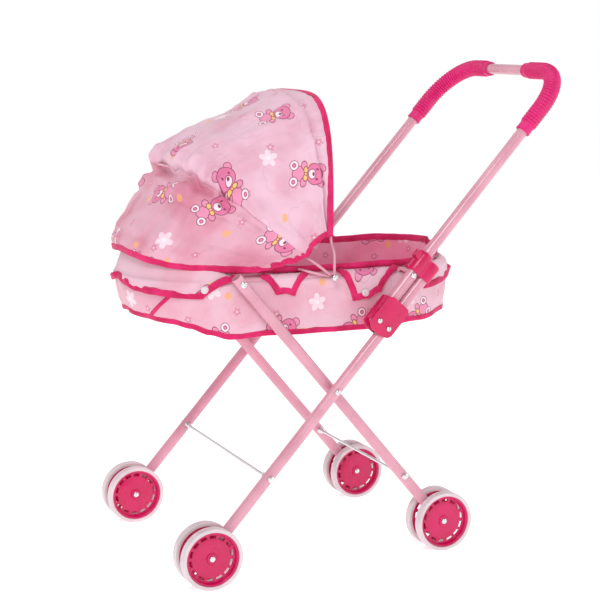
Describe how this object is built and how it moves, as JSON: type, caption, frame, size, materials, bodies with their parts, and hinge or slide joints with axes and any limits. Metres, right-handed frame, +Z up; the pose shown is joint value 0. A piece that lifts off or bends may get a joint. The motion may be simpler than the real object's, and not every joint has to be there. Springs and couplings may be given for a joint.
{
  "type": "doll stroller",
  "caption": "Folding toy pram: scissor tube frame, U handle with grips, fabric carrycot with hooped hood, twin-disc wheels.",
  "frame": {"origin": "On the floor, under the middle of the bounding box.", "axes": "+Z up; +Y towards the handle, -Y towards the hood and front wheels; +X to the left as it is pushed, along the wheel axles."},
  "size_m": [0.293, 0.5007, 0.5506],
  "materials": {
    "pink_paint": "glossy rose pink enamel on steel tube and wire",
    "magenta_plastic": "glossy moulded magenta plastic",
    "magenta_grip": "soft satin magenta vinyl",
    "white_plastic": "white moulded plastic, slightly glossy",
    "bright_steel": "bright plated steel",
    "pink_fabric": "printed pale pink polyester with magenta binding",
    "card_board": "stiff grey board insert"
  },
  "bodies": {
    "push_frame": {"front_leg_left": "pink_paint", "front_leg_right": "pink_paint", "front_tie_rod": "bright_steel", "scissor_bolt_left": "bright_steel", "scissor_bolt_right": "bright_steel", "bracket_rivet_left": "bright_steel", "bracket_rivet_right": "bright_steel", "handle_bracket_left": "magenta_plastic", "handle_bracket_right": "magenta_plastic"},
    "rear_legs": {"rear_leg_left": "pink_paint", "rear_leg_right": "pink_paint", "rear_tie_rod": "bright_steel", "front_cot_bolt_left": "bright_steel", "front_cot_bolt_right": "bright_steel"},
    "handle": {"handle_tube": "pink_paint", "grip_left": "magenta_grip", "grip_right": "magenta_grip", "handle_end_guard_left": "magenta_plastic", "handle_end_guard_right": "magenta_plastic", "handle_pin_left": "bright_steel", "handle_pin_right": "bright_steel", "rear_cot_bolt_left": "bright_steel", "rear_cot_bolt_right": "bright_steel"},
    "lock_left": {"lock_clip_left": "magenta_plastic"},
    "lock_right": {"lock_clip_right": "magenta_plastic"},
    "carrycot": {"carrycot_ring": "pink_paint", "carrycot_tub": "pink_fabric", "base_board": "card_board", "carrycot_skirt": "pink_fabric", "hood_rivet_left": "bright_steel", "hood_rivet_right": "bright_steel", "hood_hoop_lower": "pink_paint", "hood_panel_lower": "pink_fabric"},
    "hood_mid": {"hood_hoop_mid": "pink_paint", "hood_panel_mid": "pink_fabric"},
    "hood_front": {"hood_hoop_front": "pink_paint", "hood_panel_front": "pink_fabric"},
    "front_left_wheel": {"front_left_tyre_outer": "white_plastic", "front_left_tyre_inner": "white_plastic", "front_left_hub_outer": "magenta_plastic", "front_left_hub_inner": "magenta_plastic", "front_left_axle_pin": "bright_steel"},
    "front_right_wheel": {"front_right_tyre_outer": "white_plastic", "front_right_tyre_inner": "white_plastic", "front_right_hub_outer": "magenta_plastic", "front_right_hub_inner": "magenta_plastic", "front_right_axle_pin": "bright_steel"},
    "rear_left_wheel": {"rear_left_tyre_outer": "white_plastic", "rear_left_tyre_inner": "white_plastic", "rear_left_hub_outer": "magenta_plastic", "rear_left_hub_inner": "magenta_plastic", "rear_left_axle_pin": "bright_steel"},
    "rear_right_wheel": {"rear_right_tyre_outer": "white_plastic", "rear_right_tyre_inner": "white_plastic", "rear_right_hub_outer": "magenta_plastic", "rear_right_hub_inner": "magenta_plastic", "rear_right_axle_pin": "bright_steel"}
  },
  "joints": [
    {"name": "handle_fold", "type": "hinge", "parent": "push_frame", "child": "handle", "pos_m": [0, 0.00072, 0.27586], "axis": [1, 0, 0], "range_deg": [0, 130]},
    {"name": "rear_leg_fold", "type": "hinge", "parent": "push_frame", "child": "rear_legs", "pos_m": [0, -0.04809, 0.2], "axis": [1, 0, 0], "range_deg": [0, 73.2]},
    {"name": "carrycot_tilt", "type": "hinge", "parent": "handle", "child": "carrycot", "pos_m": [0, 0.04291, 0.3225], "axis": [1, 0, 0], "range_deg": [-83.5, 0]},
    {"name": "hood_front_hinge", "type": "hinge", "parent": "hood_mid", "child": "hood_front", "pos_m": [0, -0.04209, 0.3225], "axis": [1, 0, 0], "range_deg": [0, 42]},
    {"name": "hood_mid_hinge", "type": "hinge", "parent": "carrycot", "child": "hood_mid", "pos_m": [0, -0.04209, 0.3225], "axis": [1, 0, 0], "range_deg": [0, 14.1]},
    {"name": "lock_slide_left", "type": "slide", "parent": "handle", "child": "lock_left", "axis": [0, 0.6708, 0.7416], "range_m": [0, 0.02]},
    {"name": "lock_slide_right", "type": "slide", "parent": "handle", "child": "lock_right", "axis": [0, 0.6708, 0.7416], "range_m": [0, 0.02]},
    {"name": "front_left_wheel_spin", "type": "hinge", "parent": "push_frame", "child": "front_left_wheel", "pos_m": [0.1295, -0.19809, 0.0342], "axis": [1, 0, 0], "continuous": true},
    {"name": "front_right_wheel_spin", "type": "hinge", "parent": "push_frame", "child": "front_right_wheel", "pos_m": [-0.1295, -0.19809, 0.0342], "axis": [1, 0, 0], "continuous": true},
    {"name": "rear_left_wheel_spin", "type": "hinge", "parent": "rear_legs", "child": "rear_left_wheel", "pos_m": [0.1135, 0.09091, 0.0342], "axis": [1, 0, 0], "continuous": true},
    {"name": "rear_right_wheel_spin", "type": "hinge", "parent": "rear_legs", "child": "rear_right_wheel", "pos_m": [-0.1135, 0.09091, 0.0342], "axis": [1, 0, 0], "continuous": true}
  ],
  "couplings": [
    {"joint": "rear_leg_fold", "follows": "handle_fold", "ratio": 0.562},
    {"joint": "carrycot_tilt", "follows": "handle_fold", "ratio": -0.64146},
    {"joint": "hood_mid_hinge", "follows": "hood_front_hinge", "ratio": 0.33333}
  ]
}
